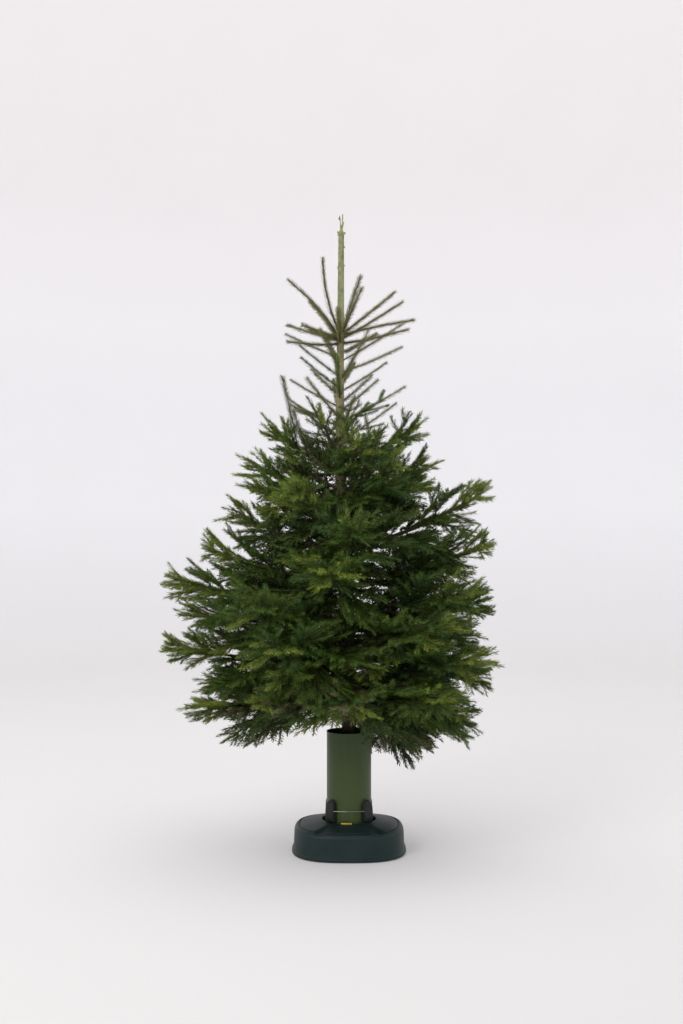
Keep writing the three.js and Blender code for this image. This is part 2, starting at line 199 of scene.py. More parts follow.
def ramp(tree, factor, stops):
    node = node_with(tree, "ValToRGB", Fac=factor)
    elements = node.color_ramp.elements
    while len(elements) < len(stops):
        elements.new(0.5)
    for element, (at, colour) in zip(elements, stops):
        element.position = at
        element.color = (*linear(colour), 1)
    return node.outputs["Color"]


def span(tree, factor, low, high, start=0.0, end=1.0):
    node = node_with(tree, "MapRange", From_Min=start, From_Max=end, To_Min=low, To_Max=high, Value=factor)
    return node.outputs["Result"]


def blend_colours(tree, factor, a, b, mode="MIX"):
    node = node_with(tree, "Mix")
    node.data_type = "RGBA"
    node.blend_type = mode
    for i, value in ((0, factor), (6, a), (7, b)):
        feed(tree, node.inputs[i], (*linear(value), 1) if isinstance(value, tuple) else value)
    return node.outputs[2]


def bump(tree, shader, height, distance, strength=1.0):
    node = node_with(tree, "Bump", Distance=distance, Strength=strength, Height=height)
    tree.links.new(node.outputs["Normal"], shader.inputs["Normal"])


def dress(tree, shader, colour, grain, rough_low, rough_high, specular=None):
    """colour, roughness between two values by the grain, and specular level where it isn't the default"""
    tree.links.new(colour, shader.inputs["Base Color"])
    tree.links.new(span(tree, grain, rough_low, rough_high), shader.inputs["Roughness"])
    if specular is not None:
        shader.inputs["Specular IOR Level"].default_value = specular


def linear(colour):
    """sRGB 0-255 to linear"""
    shares = [c / 255 for c in colour]
    return tuple(c / 12.92 if c <= 0.04045 else ((c + 0.055) / 1.055) ** 2.4 for c in shares)


def needle_look(name, dark, light):
    made, tree, shader = material(name)
    where = position(tree)
    broad = noise_of(tree, where, 28, 2, 0.6)
    fine = noise_of(tree, where, 210, 2, 0.6)
    tint = ramp(tree, broad, [(0.3, dark), (0.7, light)])
    lit = tuple(min(255, round(c * 1.3 + 8)) for c in light)
    shade = tuple(round(c * 0.72) for c in dark)
    grain = span(tree, fine, 0.0, 1.0, 0.35, 0.65)
    mottled = blend_colours(tree, span(tree, fine, 0.0, 0.75, 0.52, 0.7), tint, lit)
    shaded = blend_colours(tree, span(tree, fine, 0.75, 0.0, 0.3, 0.48), mottled, shade)
    dress(tree, shader, shaded, grain, 0.6, 0.45, 0.14)
    return made


def twig_look():
    made, tree, shader = material("twig_bark")
    where = position(tree)
    grain = noise_of(tree, where, 60, 5, 0.6)
    fine = noise_of(tree, where, 700, 3, 0.6)
    tint = ramp(tree, grain, [(0.25, (80, 72, 45)), (0.5, (110, 102, 64)), (0.75, (138, 128, 84))])
    grimy = blend_colours(tree, span(tree, fine, 0.0, 0.5, 0.4, 0.7), tint, (64, 58, 42))
    dress(tree, shader, grimy, fine, 0.9, 0.7)
    bump(tree, shader, fine, 0.0006)
    return made


def bud_look():
    made, tree, shader = material("bud_scales")
    grain = cells_of(tree, position(tree), 420)
    dress(tree, shader, ramp(tree, grain, [(0.1, (118, 112, 64)), (0.6, (150, 148, 94))]), grain, 0.5, 0.75)
    bump(tree, shader, grain, 0.0006)
    return made


def bark_look(name, stops, low, high):
    """bark whose colour goes through the stops between two heights in metres, with cracks and lichen"""
    made, tree, shader = material(name)
    where = position(tree)
    grain = noise_of(tree, where, 32, 6, 0.65)
    fine = noise_of(tree, position(tree, (1, 1, 0.35)), 420, 4, 0.6)
    plates = cells_of(tree, position(tree, (1, 1, 0.55)), 95, "DISTANCE_TO_EDGE")
    height = span(tree, part_of(tree, where, "Z"), 0.0, 1.0, low, high)
    tint = ramp(tree, height, stops)
    mottled = blend_colours(tree, span(tree, grain, 0.0, 0.75, 0.35, 0.7), tint, (70, 62, 48))
    cracks = ramp(tree, plates, [(0.0, (38, 33, 26)), (0.06, (255, 255, 255))])
    shade = blend_colours(tree, span(tree, height, 0.75, 0.0, 0.3, 0.8), mottled, cracks, "MULTIPLY")
    lichen = ramp(tree, noise_of(tree, where, 90, 5, 0.7), [(0.62, (0, 0, 0)), (0.75, (255, 255, 255))])
    overgrown = blend_colours(tree, span(tree, lichen, 0.0, 0.35), shade, (128, 130, 100))
    dress(tree, shader, overgrown, grain, 0.95, 0.75, 0.3)
    bump(tree, shader, fine, 0.0012)
    return made


def moulded_look(name, base, worn, grain_scale, roughness, dust_and_sheen, dust_and_sheen_share):
    """moulded plastic: fine grain, cloudy sheen, and on faces that look up a paler colour that is partly dust and
    partly a painted sheen of the light from above
    """
    made, tree, shader = material(name)
    where = position(tree)
    cloud = noise_of(tree, where, 9, 5, 0.6)
    grain = noise_of(tree, where, grain_scale, 2, 0.5)
    tint = ramp(tree, cloud, [(0.3, base), (0.7, worn)])
    facing = node_with(tree, "NewGeometry").outputs["Normal"]
    # faces that look up are paler: partly dust, partly painted sheen of the light from above
    upward_dust_and_sheen = span(tree, part_of(tree, facing, "Z"), 0.0, dust_and_sheen_share, 0.55, 1.0)
    dress(tree, shader, blend_colours(tree, upward_dust_and_sheen, tint, dust_and_sheen), cloud, roughness + 0.08, roughness - 0.06, 0.27)
    bump(tree, shader, grain, 0.0003, 0.5)
    return made


def painted_look():
    made, tree, shader = material("tube_paint")
    where = position(tree)
    cloud = noise_of(tree, position(tree, (1, 1, 0.25)), 6, 4, 0.5)
    peel = noise_of(tree, where, 260, 2, 0.4)
    streaks = noise_of(tree, position(tree, (1, 1, 0.04)), 55, 4, 0.6)
    tint = ramp(tree, cloud, [(0.3, (48, 65, 28)), (0.7, (61, 77, 35))])
    worn = blend_colours(tree, span(tree, streaks, 0.0, 0.25, 0.5, 0.75), tint, (72, 78, 50))
    dress(tree, shader, worn, streaks, 0.5, 0.36, 0.35)
    bump(tree, shader, peel, 0.00025, 0.4)
    return made


def metal_look(name, bright, dull, scale, roughness, stretch=(1, 1, 1)):
    made, tree, shader = material(name)
    grain = noise_of(tree, position(tree, stretch), scale, 4, 0.6)
    dress(tree, shader, ramp(tree, grain, [(0.3, dull), (0.65, bright)]), grain, roughness + 0.15, roughness - 0.05)
    shader.inputs["Metallic"].default_value = 1.0
    bump(tree, shader, grain, 0.0001, 0.3)
    return made


# ---- growth rule
# The source's own rule, with its named values, written again.
TUBE_TOP = 408
TREE_TOP = 2166
LEADER_FOOT = 1737  # height of the last whorl
STRAIGHT_FROM = 1437  # height above which the trunk is upright
LEAN, LEAN_BACK, LEADER_DRIFT = -31, 6, 5
TRUNK_PROFILE = [
    (12.3, 30), (408, 25.5), (860, 20.5), (1300, 16.5), (1690, 12.5), (1745, 12.5),
    (1900, 11.3), (2088, 9.5), (2101, 10), (2116, 3.2), (2166, 1.2),
]
TIER_KEYS = ("name", "count", "height", "turn", "reach", "slope", "lift", "years", "tilt", "fan", "fall", "side")
TIERS = [dict(zip(TIER_KEYS, row)) for row in (
    ("skirt", 4, 545, 188, 505, -0.13, 0.02, 6, -18, 24, 0.1, 0.1),
    ("low", 5, 690, 178, 572, -0.14, 0.19, 6, -12, 33, 0.03, 0.09),
    ("middle", 5, 868, 186, 550, -0.01, 0.15, 6, -4, 34, 0, 0.06),
    ("high", 4, 1050, 170, 466, 0.2, 0.2, 5, -2, 34, -0.03, -0.09),
    ("upper", 4, 1205, 190, 317, 0.34, 0.18, 4, 0, 34, -0.03, 0.02),
    ("shoulder", 4, 1308, 172, 258, 0.46, 0.2, 4, 2, 30, 0, -0.07),
)]
# Thinner boughs that stand between the whorls, too fine for solids of their own
BETWEEN = [dict(zip(TIER_KEYS, row)) for row in (
    ("fringe", 4, 535, 240, 440, -0.125, 0.0, 5, -5, 20, 0.215, -0.08),
    ("skirt_inner", 6, 604, 183, 510, -0.13, 0.12, 6, -12, 30, 0.05, -0.01),
    ("low_inner", 6, 776, 181, 545, -0.07, 0.17, 6, -6, 32, 0.01, 0.04),
    ("middle_inner", 4, 956, 185, 488, 0.08, 0.15, 5, -2, 34, 0, -0.02),
    ("high_inner", 4, 1132, 215, 322, 0.27, 0.18, 5, 0, 32, 0, -0.06),
    ("upper_inner", 4, 1255, 217, 240, 0.38, 0.2, 4, 0, 30, 0, -0.03),
)]
FAN_PATTERN = (1, -1, 0)
FALL_TOWARDS = 45  # azimuth on which the lower whorls hang deepest
FALL_TILT = 80  # degrees by which the sprays follow a bough's own fall
STAGGER = 30  # height by which neighbouring boughs of a whorl differ from its middle
FIRST_SEED, SEED_STEP = 7001, 97
BOUGH_START = 12  # distance of a bough's start from the trunk's middle
SECTOR_MARGIN = 9  # clear strip along the side of a mass's space
YEAR_LENGTH = 80
BOUGH_MARGIN = 18  # room between a bough's end and the box
GOLDEN = 137.508
# Last whorl: azimuth, rise and length of each shoot, then how far it bends outwards and up at its end,
# as shares of its length
HUB_SHOOTS = [
    (24, 38, 260, 0, 0.03), (59, 60, 270, 0.08, 0), (90, 30, 230, 0, 0.02), (12, 13, 265, 0, -0.07),
    (123, 15, 200, 0, 0.1), (127, 43, 240, 0.1, -0.08), (151, 13, 215, 0, 0.18), (200, 46, 270, 0.2, -0.09),
    (208, -1, 200, 0, 0.12), (223, 72, 268, -0.3, 0.05), (228, 10, 190, 0, 0.04), (268, 25, 220, 0, 0.04),
    (294, 39, 220, 0.05, 0.03), (340, 28, 250, 0, 0.05), (345, 10, 240, 0, 0.08),
]
# Single shoots on the trunk below the last whorl
STEM_SEED = 90210
STEM_SHOOTS = 24
STEM_TOP = 1688  # height of the highest
STEM_SPACING = 13
STEM_TURN = 57
STEM_RISE = 27
STEM_LENGTH = 222


class Dice:
    def __init__(self, seed):
        self.state = seed

    def roll(self):
        self.state = self.state * 48271 % 2147483647
        return self.state / 2147483647

    def spread(self, amount):
        return (2 * self.roll() - 1) * amount


def unit(vector):
    return vector / math.sqrt(float(vector @ vector))


def cross(a, b):
    return np.array([a[1] * b[2] - a[2] * b[1], a[2] * b[0] - a[0] * b[2], a[0] * b[1] - a[1] * b[0]])


def heading(azimuth, rise):
    flat = math.cos(rise)
    return np.array([math.cos(azimuth) * flat, math.sin(azimuth) * flat, math.sin(rise)])


def trunk_at(z):
    t = min(1, max(0, (z - TUBE_TOP) / (STRAIGHT_FROM - TUBE_TOP)))
    drift = t * t * (3 - 2 * t)
    back = LEADER_DRIFT * max(0, z - STRAIGHT_FROM) / (TREE_TOP - STRAIGHT_FROM)
    return np.array([LEAN * drift + back, LEAN_BACK * drift, z])


def trunk_radius(z):
    for (z0, r0), (z1, r1) in zip(TRUNK_PROFILE, TRUNK_PROFILE[1:]):
        if z <= z1:
            return r0 + (r1 - r0) * max(0, z - z0) / (z1 - z0)
    return TRUNK_PROFILE[-1][1]


def boughs_of(tier, index):
    dice = Dice(FIRST_SEED + SEED_STEP * index)
    made = []
    for i in range(tier["count"]):
        azimuth = math.radians(tier["turn"] + 360 * i / tier["count"] + dice.spread(9))
        reach = tier["reach"] * (1 + dice.spread(0.06)) * (1 - tier["side"] * math.cos(azimuth))
        height = tier["height"] + STAGGER * (1 if i % 2 else -1) + dice.spread(10)
        sway = dice.spread(0.12)
        fall = tier["fall"] * math.cos(azimuth - math.radians(FALL_TOWARDS))
        seed = math.floor(1000 + 5000 * dice.roll()) * 7 + 11
        made.append(dict(
            tier=tier, number=i + 1, azimuth=azimuth, reach=reach, height=height, sway=sway, fall=fall, seed=seed,
        ))
    for i, bough in enumerate(made):
        following = made[i + 1]["azimuth"] if i + 1 < len(made) else made[0]["azimuth"] + 2 * math.pi
        previous = made[i - 1]["azimuth"] if i else made[-1]["azimuth"] - 2 * math.pi
        bough["limits"] = ((bough["azimuth"] + previous) / 2, (bough["azimuth"] + following) / 2)
        bough["foot"] = trunk_at(bough["height"])
    return made


def bough_point(bough, t):
    azimuth = bough["azimuth"] + bough["sway"] * t * t
    radius = BOUGH_START + (bough["reach"] - BOUGH_START) * t
    tier = bough["tier"]
    rise = bough["reach"] * ((tier["slope"] - bough["fall"]) * t + tier["lift"] * t * t)
    x, y, z = bough["foot"]
    return np.array([x + radius * math.cos(azimuth), y + radius * math.sin(azimuth), z + rise])


def frame_along(direction, up):
    side = unit(cross(up, direction))
    return direction, side, cross(direction, side)


def bough_frame(bough, t):
    return frame_along(unit(bough_point(bough, t + 0.01) - bough_point(bough, t - 0.01)), UP)


def room_for(bough, point, direction, length):
    """length that a shoot may have before it leaves the sector of its mass"""
    room = length
    for i, limit in enumerate(bough["limits"]):
        sign = 1 if i else -1
        inward = np.array([math.sin(limit) * sign, -math.cos(limit) * sign, 0])
        clear = float((point - bough["foot"]) @ inward) - SECTOR_MARGIN
        rate = -float(direction @ inward)
        if rate > 1e-6:
            room = min(room, max(0, clear) / rate)
    return room


def bough_end(bough):
    """share of a bough that lies within the box of the solids"""
    t = 1.0
    while t > 0.8:
        point = bough_point(bough, t)
        if np.all(point > BOX[0] + BOUGH_MARGIN) and np.all(point < BOX[1] - BOUGH_MARGIN):
            break
        t -= 0.01
    return t


def leaving(axes, sign, angle, tilt):
    forward, side, up = axes
    flat = forward * math.cos(angle) + side * (sign * math.sin(angle))
    return unit(flat * math.cos(tilt) + up * math.sin(tilt))


def sprays_of(bough):
    tier = bough["tier"]
    dice = Dice(bough["seed"])
    made = []
    for i in range(1, tier["years"]):
        for half in (0, 0.5):
            t = (i + half) / tier["years"]
            axes = bough_frame(bough, t)
            for sign in (1, -1):
                angle = math.radians(52 - 12 * t + dice.spread(7))
                fan = FAN_PATTERN[(2 * i + (half > 0) + (sign > 0)) % 3]
                tilt = math.radians(tier["tilt"] - FALL_TILT * bough["fall"] + tier["fan"] * fan + dice.spread(7))
                full = (bough["reach"] * 0.6 * (1 - t) + 65) * (1 + dice.spread(0.12)) * (0.62 if half else 1)
                seed = 1 + math.floor(dice.roll() * 1e6)
                start = bough_point(bough, t)
                direction = leaving(axes, sign, angle, tilt)
                length = room_for(bough, start, direction, full)
                years = max(1, min(tier["years"] - i, math.floor(length / YEAR_LENGTH + 0.5)))
                made.append(dict(
                    start=start, axes=frame_along(direction, axes[2]), length=length, years=years, seed=seed, t=t,
                ))
    return made


# ---- shoots
# One row per needled shoot: where it starts, how it runs and bends, its twig's radius at both ends, its needles
# and its tone. Level 0 has no twig of its own.
DARK, MID, FRESH_AND_LIT, OLIVE, PALE, COOL, DRY = range(7)
BOX_MARGIN = 16  # room for needles inside the box
STAND_CLEAR = (TUBE_TOP + 14, 94)  # height and radius within which nothing grows
SHORTEST_TWIG = 24
SHORTEST_SPRAY = 30
FINE_LENGTH, FINE_WITHIN = 104, 0.72  # side twigs this long, in this share of the bough, have finer twigs
# Side twigs in a comb: spacing, longest and shortest, share of the rest of the row, radius, chance, lean, level
# and angle to the row
SPRAY_COMB = (39.0, 145, 50, 0.76, 1.6, 0.95, 15, 2, 38)
FINE_COMB = (58.0, 80, 44, 0.66, 1.2, 0.85, 14, 3, 38)
TIP_COMB = (40, 140, 56, 0.85, 1.7, 0.95, 30, 2, 31)
# Length and opening of a shoot's needles, the share of it without any, and how many and how wide they are
PLAIN_NEEDLES = dict(needle=18.0, open_angle=41.0, bare=0.0, thin=1.0, wide=1.0)
shoots = []


def shoot(group, tone, start, axes, length, bend, root, tip, level, **needles):
    row = dict(
        PLAIN_NEEDLES, group=group, tone=tone, start=start, axes=axes, length=length, bend=bend, root=root, tip=tip,
        level=level, **needles,
    )
    shoots.append(row)
    return row


def shoot_point(row, s):
    return row["start"] + row["axes"][0] * (row["length"] * s) + row["bend"] * (row["length"] * s * s)


def shoot_axes(row, s):
    return frame_along(unit(row["axes"][0] + row["bend"] * (2 * s)), row["axes"][2])


def room_in_box(point, direction, length):
    for k in range(3):
        if direction[k] > 1e-6:
            length = min(length, (BOX[1][k] - BOX_MARGIN - point[k]) / direction[k])
        elif direction[k] < -1e-6:
            length = min(length, (BOX[0][k] + BOX_MARGIN - point[k]) / direction[k])
    return max(0.0, length)


def clear_of_stand(point):
    return not (point[2] < STAND_CLEAR[0] and math.hypot(point[0], point[1]) < STAND_CLEAR[1])


def share_of(bough, point):
    """distance of a point from the trunk, as a share of the bough's reach"""
    return math.hypot(point[0] - bough["foot"][0], point[1] - bough["foot"][1]) / bough["reach"]


def dressing(bough, point):
    """needles of a shoot by its place: many and slim at the outside, few and wide in the shade near the trunk"""
    outer = min(1, max(0, (share_of(bough, point) - 0.35) / 0.4))
    return dict(thin=0.6 + 0.85 * outer, wide=1.7 - 0.7 * outer)


def side_shoot(row, bough, s, sign, angle, tilt, full, lift, root, tip, level, tone=None, **needles):
    """a twig that leaves its row at share s, unless it is cut too short or would touch the stand"""
    start = shoot_point(row, s)
    direction = leaving(shoot_axes(row, s), sign, angle, tilt)
    length = full if bough is None else room_for(bough, start, direction, full)
    length = room_in_box(start, direction, length)
    if length < SHORTEST_TWIG or not clear_of_stand(start + direction * length):
        return None
    axes = frame_along(direction, shoot_axes(row, s)[2])
    if bough is not None:
        needles = dressing(bough, start + direction * (length * 0.5))
    tone = row["tone"] if tone is None else tone
    return shoot(row["group"], tone, start, axes, length, lift, root, tip, level, **needles)


def comb(row, bough, dice, first, last, lift, kind):
    """side shoots on both sides of a twig, close together and nearly parallel, shorter towards its end"""
    step, longest, shortest, share, root, chance, lean, level, spread = kind
    made = []
    for sign in (1, -1):
        at = first + step * dice.roll()
        while at < last:
            s = at / row["length"]
            angle = math.radians(spread - 8 * s + dice.spread(5))
            tilt = math.radians(dice.spread(lean))
            full = min(longest, max(shortest, (row["length"] - at) * share)) * (1 + dice.spread(0.16))
            if dice.roll() < chance:
                grown = side_shoot(row, bough, s, sign, angle, tilt, full, lift, root, 0.9, level)
                if grown is not None:
                    made.append(grown)
            at += step * (1 + dice.spread(0.3))
    return made


# Needle group of each whorl, and how far its sprays' ends droop, as a share of their length
HABIT = {
    "fringe": ("lower", -0.1), "skirt": ("lower", 0.0), "skirt_inner": ("lower", -0.04), "low": ("lower", -0.02),
    "low_inner": ("middle", -0.02), "middle": ("middle", -0.06), "middle_inner": ("upper", -0.04),
    "high": ("upper", -0.19), "high_inner": ("upper", -0.1), "upper": ("upper", 0.0),
    "upper_inner": ("top", 0.04), "shoulder": ("top", 0.0),
}
# Share of the bough up to which its sprays are single shoots, so that the upper trunk shows
BARE_TO = {"shoulder": 0.35, "upper_inner": 0.4}
# Boughs whose sprays are all single shoots, because the photo shows the trunk between them
SPARSE = {("shoulder", 2), ("shoulder", 4)} | {("upper_inner", number) for number in (1, 2, 3, 4)}


def tone_at(bough, point, mood):
    """tone of a spray, by the share of the bough's reach at which it stands and by a throw of the dice; lighter at
    the outside and darker near the trunk, partly the needles' own age and partly painted light on the outer shoots
    and painted shade inside
    """
    share = share_of(bough, point) + 0.25 * (mood - 0.5) - 0.1 * max(0, -math.sin(bough["azimuth"]))
    tone = FRESH_AND_LIT if share > 0.84 else (MID if share > 0.5 else DARK)
    odd = (mood * 7.3) % 1
    if tone != FRESH_AND_LIT and bough["tier"]["name"] in ("fringe", "skirt") and odd < 0.45:
        return DRY
    return COOL if tone == MID and odd > 0.7 else tone


def dress_spray(bough, spray):
    name = bough["tier"]["name"]
    group, droop = HABIT[name]
    dice = Dice(spray["seed"] + 1000003)
    forward = spray["axes"][0]
    length = room_in_box(spray["start"], forward, spray["length"])
    if length < SHORTEST_SPRAY or not clear_of_stand(spray["start"] + forward * length):
        return
    mood = dice.roll()
    middle = spray["start"] + forward * (length * 0.6)
    tone = FRESH_AND_LIT if mood > 0.93 else tone_at(bough, middle, mood)
    onward = bough_frame(bough, min(0.98, spray["t"]))[0]
    bend = UP * droop + (onward - forward) * 0.22
    main = shoot(group, tone, spray["start"], spray["axes"], length, bend, 2.9, 1.1, 1,
                 bare=0.0 if spray["t"] > 0.4 else 0.12, **dressing(bough, middle))
    if spray["t"] < BARE_TO.get(name, 0.0) or (name, bough["number"]) in SPARSE:
        return
    teeth = Dice(spray["seed"])
    years = spray["years"]
    lift = UP * (0.04 + droop * 0.4) + forward * 0.16
    sides = []
    for k in range(1, years):
        for sign in (1, -1):
            angle = math.radians(48 + teeth.spread(8))
            full = max(45, spray["length"] * (1 - k / years) * (0.62 + teeth.spread(0.1)))
            tilt = math.radians(dice.spread(15))
            tone = tone_at(bough, shoot_point(main, k / years) + forward * (full * 0.5), dice.roll())
            side = side_shoot(main, bough, k / years, sign, angle, tilt, full, lift, 1.9, 1.0, 2, tone)
            if side is not None:
                sides.append(side)
    sides += comb(main, bough, dice, 8, length * 0.76, lift, SPRAY_COMB)
    for side in sides:
        if side["length"] > FINE_LENGTH and share_of(bough, shoot_point(side, 0.6)) < FINE_WITHIN:
            comb(side, bough, dice, 16, side["length"] - 56, lift, FINE_COMB)


def dress_bough(bough):
    tier = bough["tier"]
    group = HABIT[tier["name"]][0]
    steps = tier["years"] * 3
    # needles on the limb itself, from its second year on
    for i in range(steps):
        a, b = i / steps, (i + 1) / steps
        if a < 1.2 / tier["years"] or b > bough["end"] + 0.02:
            continue
        start, end = bough_point(bough, a), bough_point(bough, b)
        length = float(np.linalg.norm(end - start))
        axes = frame_along(unit(end - start), UP)
        needles = dict(thin=0.8, wide=1.6) if a < 0.5 else dict(thin=1.1, wide=1.0)
        # needles near the trunk take the dark tone, partly painted shade
        shoot(group, DARK if a < 0.45 else MID, start, axes, length, UP * 0.0, 0, 0, 0, **needles)
    # long parallel shoots along the last years of the bough
    root = bough_point(bough, 0.6)
    ahead = bough_point(bough, bough["end"]) - root
    length = float(np.linalg.norm(ahead))
    forward = ahead / length
    dice = Dice(bough["seed"] + 77)
    tone = tone_at(bough, bough_point(bough, 0.9), dice.roll())
    row = dict(start=root, axes=frame_along(forward, UP), length=length, bend=UP * 0, group=group, tone=tone)
    if (tier["name"], bough["number"]) not in SPARSE:
        comb(row, bough, dice, 8, length - 30, UP * 0.03 + forward * 0.12, TIP_COMB)
    for spray in sprays_of(bough):
        dress_spray(bough, spray)


whorl_boughs = [bough for index, tier in enumerate(TIERS) for bough in boughs_of(tier, index)]
thin_boughs = [bough for index, tier in enumerate(BETWEEN) for bough in boughs_of(tier, len(TIERS) + index)]
boughs = whorl_boughs + thin_boughs
for bough in boughs:
    bough["root"] = 8.0 if bough["tier"]["name"] in ("skirt", "low", "middle", "high") else 4.6
    bough["end"] = bough_end(bough)
    dress_bough(bough)

for i, (azimuth, rise, length, outward, upward_dust_and_sheen) in enumerate(HUB_SHOOTS):
    azimuth = math.radians(azimuth)
    bend = heading(azimuth, 0) * outward + UP * upward_dust_and_sheen
    straight = heading(azimuth, math.radians(rise)) - bend
    pace = math.sqrt(float(straight @ straight))
    shoot("top", OLIVE, trunk_at(LEADER_FOOT + 14 - 14 * (i % 3)), frame_along(straight / pace, UP), length * pace,
          bend / pace, 4.2, 2.7, 1, needle=15, open_angle=54, bare=0.02, thin=3.6, wide=0.7)

stem_dice = Dice(STEM_SEED)
fine_dice = Dice(4711)
for i in range(STEM_SHOOTS):
    rise = STEM_RISE + stem_dice.spread(9)
    length = STEM_LENGTH + stem_dice.spread(45)
    direction = heading(math.radians(STEM_TURN + GOLDEN * i), math.radians(rise))
    row = shoot("top", MID if i > 5 and i % 3 == 0 else OLIVE, trunk_at(STEM_TOP - STEM_SPACING * i),
                frame_along(direction, UP), length, UP * 0.06, 2.8, 1.6, 1,
                needle=14.5, open_angle=53, bare=0.08, thin=3.0, wide=0.68)
    if i <= 17:
        continue
    for s in (0.34, 0.6):
        for sign in (1, -1):
            full = length * (1 - s) * (0.72 + fine_dice.spread(0.15))
            if fine_dice.roll() < 0.7:
                angle, tilt = (math.radians(a + fine_dice.spread(b)) for a, b in ((45, 8), (0, 16)))
                side_shoot(row, None, s, sign, angle, tilt, full, UP * 0.06, 1.8, 1.1, 2,
                           needle=14.5, open_angle=46, thin=3.0, wide=0.64)

# The leader's own needles lie close to it
leader_heights = [1745 + 340 * i / 12 for i in range(13)]
for z0, z1 in zip(leader_heights, leader_heights[1:]):
    axes = frame_along(unit(trunk_at(z1) - trunk_at(z0)), FRONT)
    shoot("top", PALE, trunk_at(z0), axes, z1 - z0, UP * 0, trunk_radius(z0), trunk_radius(z1), 0,
          needle=12, open_angle=26, thin=3.0, wide=0.55)

# Two steep shoots with spread needles stand on the first shoulder bough
for t, way, length, sideways, root, tip, needle, open_angle, thin in (
    (0.6, (-0.17, -0.12, 0.97), 250, -0.04, 2.8, 1.6, 18, 62, 5.5),
    (0.42, (-0.34, -0.2, 0.92), 165, 0.02, 2.6, 1.5, 17.5, 58, 5.0),
):
    shoot("top", OLIVE, bough_point(whorl_boughs[-4], t), frame_along(unit(np.array(way)), FRONT), length,
          np.array([sideways, 0, 0.0]), root, tip, 1, needle=needle, open_angle=open_angle, thin=thin, wide=0.8)


# ---- needles
NEEDLES_IN_ALL = 440000
NEEDLE_WIDTH = (2.6, 3.3)
NEEDLE_TURN = 2.39996  # radians from one needle to the next
PARTING = 0.84  # share of the full turn that the needles of a spread shoot take up
CLOSE_ANGLE = 30  # shoots whose needles open less have no parting
# dark and fresh_and_lit stand partly for painted shade inside the crown and painted light on its outer shoots
# Name, slot and the two ends of the colour of each tone
TONES = {
    DARK: ("dark", "needles", (37, 54, 20), (54, 74, 29)),
    MID: ("mid", "needles", (54, 77, 25), (77, 103, 38)),
    FRESH_AND_LIT: ("fresh_and_lit", "needles", (82, 102, 31), (114, 131, 52)),
    OLIVE: ("olive", "young_needles", (88, 91, 50), (118, 121, 74)),
    PALE: ("pale", "young_needles", (112, 118, 62), (142, 144, 88)),
    COOL: ("cool", "needles", (42, 68, 26), (61, 91, 39)),
    DRY: ("dry", "needles", (78, 81, 50), (108, 110, 74)),
}
# For each group, the tone of the piece that stands for its masses, and those masses
GROUP_NODES = {
    "lower": (MID, nodes_named("skirt_foliage", "low_foliage")),
    "middle": (MID, nodes_named("middle_foliage")),
    "upper": (MID, nodes_named("high_foliage", "upper_foliage")),
    "top": (OLIVE, nodes_named("shoulder_foliage", "crown_", "mantle_")),
}


def column(key):
    return np.array([row[key] for row in shoots], float)


def normalized(rows):
    return rows / np.sqrt((rows * rows).sum(1))[:, None]


weights = column("length") * column("thin") * (1 - column("bare"))
counts = np.floor(weights * NEEDLES_IN_ALL / weights.sum() + random.rand(len(shoots))).astype(int)
owner = np.repeat(np.arange(len(shoots)), counts)
offset = np.arange(len(owner)) - np.repeat(np.cumsum(counts) - counts, counts)

# Where along its shoot each needle stands
share = (offset + random.rand(len(owner))) / counts[owner]
bare = column("bare")[owner]
along = bare + (1 - bare) * share
length = column("length")[owner]
forward = np.array([row["axes"][0] for row in shoots])[owner]
bend = column("bend")[owner]
base = column("start")[owner] + forward * (length * along)[:, None] + bend * (length * along * along)[:, None]
tangent = normalized(forward + bend * (2 * along)[:, None])
side = normalized(np.cross(np.array([row["axes"][2] for row in shoots])[owner], tangent))
above = np.cross(tangent, side)

# Its turn round the shoot, with a parting on the underside
turn = (offset * NEEDLE_TURN + random.uniform(-0.5, 0.5, len(owner)) + owner) % (2 * math.pi) - math.pi
close = column("open_angle")[owner]
turn = np.where(close < CLOSE_ANGLE, turn, turn * PARTING)
outward = side * np.sin(turn)[:, None] + above * np.cos(turn)[:, None]

# Its angle to the shoot, its size and its four corners, folded along the middle
near_tip = np.clip((along * length - (length - 9)) / 9, 0, 1) * (column("level")[owner] > 0)
opening = np.radians(close + random.normal(0, 7, len(owner)) - 12 * near_tip - 5 * np.cos(turn))
direction = normalized(tangent * np.cos(opening)[:, None] + outward * np.sin(opening)[:, None])
radius = column("root")[owner] * (1 - along) + column("tip")[owner] * along
size = column("needle")[owner] * random.uniform(0.8, 1.12, len(owner)) * (1 - 0.15 * near_tip)
width = random.uniform(*NEEDLE_WIDTH, len(owner)) * column("wide")[owner]
broad = normalized(np.cross(tangent, outward)) * (width * 0.5)[:, None]
lift = normalized(np.cross(broad, direction))
foot = base + outward * (radius * 0.7)[:, None]
middle = foot + direction * (size * 0.4)[:, None] - lift * 0.35
tip = foot + direction * size[:, None] + tangent * (size * 0.06)[:, None]
corners = np.stack([foot, middle + broad, tip, middle - broad], axis=1)

looks = {tone: needle_look("needles_" + name, *ends) for tone, (name, _, *ends) in TONES.items()}
group_of = np.array([row["group"] for row in shoots])[owner]
tone_of = column("tone")[owner]
for group, (main_tone, nodes) in GROUP_NODES.items():
    for tone, (tone_name, slot, *_) in TONES.items():
        chosen = corners[(group_of == group) & (tone_of == tone)]
        if not len(chosen):
            continue
        first = np.arange(len(chosen))[:, None] * 4
        faces = np.concatenate([first + [0, 1, 2], first + [0, 2, 3]])
        piece = mesh_object(f"{group}_needles_{tone_name}", chosen, faces, smooth=False)
        finished(piece, looks[tone], nodes if tone == main_tone else ())


